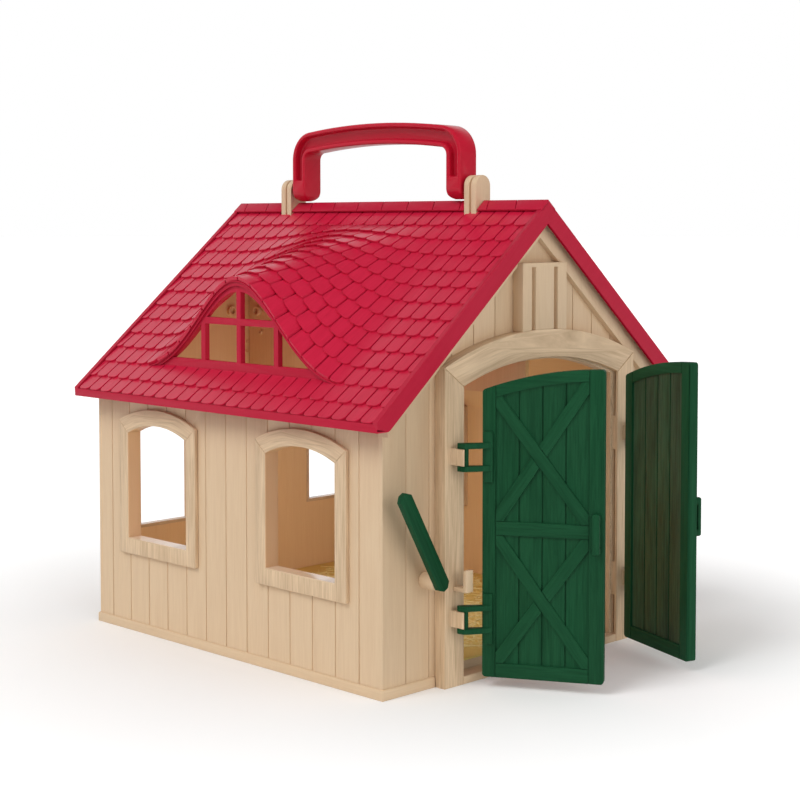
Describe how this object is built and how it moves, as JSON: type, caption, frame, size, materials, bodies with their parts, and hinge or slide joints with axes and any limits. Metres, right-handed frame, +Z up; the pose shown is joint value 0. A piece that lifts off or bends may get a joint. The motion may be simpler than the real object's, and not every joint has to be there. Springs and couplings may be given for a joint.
{
  "type": "toy barn",
  "caption": "Toy barn with boarded walls, arched windows, tiled roof with an eyebrow dormer, opening double doors, a turning latch bar and a folding carry handle.",
  "frame": {"origin": "middle of the plinth's underside, on the surface the barn stands on", "axes": "+Z up, +Y along the ridge away from the door gable, +X to the right seen from in front of the doors"},
  "size_m": [0.231, 0.2941, 0.2672],
  "materials": {
    "cream_plastic": "moulded with a faint wood grain",
    "red_plastic": "satin, moulded tile courses",
    "red_gloss_plastic": "satin",
    "green_plastic": "moulded with a faint wood grain",
    "straw_mat": "textured like straw",
    "tan_plastic": "plain satin",
    "screw_steel": "zinc plated"
  },
  "bodies": {
    "barn": {"back_gable": "cream_plastic", "back_handle_bracket": "cream_plastic", "back_handle_pin": "red_gloss_plastic", "back_panel_screw": "screw_steel", "back_window_left": "cream_plastic", "back_window_right": "cream_plastic", "base_tray": "cream_plastic", "door_frame": "cream_plastic", "dormer_window": "red_plastic", "front_gable": "cream_plastic", "front_handle_bracket": "cream_plastic", "front_handle_pin": "red_gloss_plastic", "front_panel_screw": "screw_steel", "latch_boss": "cream_plastic", "latch_hook": "cream_plastic", "left_wall": "cream_plastic", "left_window_back": "cream_plastic", "left_window_front": "cream_plastic", "loft_shutter": "cream_plastic", "ridge_cap_back": "red_plastic", "ridge_cap_front": "red_plastic", "ridge_cap_middle": "red_plastic", "ridge_panel": "tan_plastic", "right_wall": "cream_plastic", "right_window_back": "cream_plastic", "right_window_front": "cream_plastic", "roof_left": "red_plastic", "roof_right": "red_plastic", "straw_floor": "straw_mat"},
    "left_door": {"left_door_leaf": "green_plastic", "left_door_pull": "green_plastic", "left_lower_hinge": "green_plastic", "left_upper_hinge": "green_plastic"},
    "right_door": {"right_door_leaf": "green_plastic", "right_door_pull": "green_plastic", "right_lower_hinge": "green_plastic", "right_upper_hinge": "green_plastic"},
    "latch_bar": {"latch_bar": "green_plastic"},
    "carry_handle": {"carry_handle": "red_gloss_plastic"}
  },
  "joints": [
    {"name": "left_door_hinge", "type": "hinge", "parent": "barn", "child": "left_door", "pos_m": [-0.0634, -0.1225, 0.07], "axis": [0, 0, -1], "range_deg": [-60.5, 74.5]},
    {"name": "right_door_hinge", "type": "hinge", "parent": "barn", "child": "right_door", "pos_m": [0.0634, -0.1225, 0.07], "axis": [0, 0, 1], "range_deg": [-69.7, 65.3]},
    {"name": "latch_pivot", "type": "hinge", "parent": "barn", "child": "latch_bar", "pos_m": [-0.0772, -0.1185, 0.0512], "axis": [0, 1, 0], "range_deg": [-60.2, 119.8]},
    {"name": "handle_pivot", "type": "hinge", "parent": "barn", "child": "carry_handle", "pos_m": [0, -0.0013, 0.2332], "axis": [0, 1, 0], "range_deg": [-105, 105]}
  ]
}
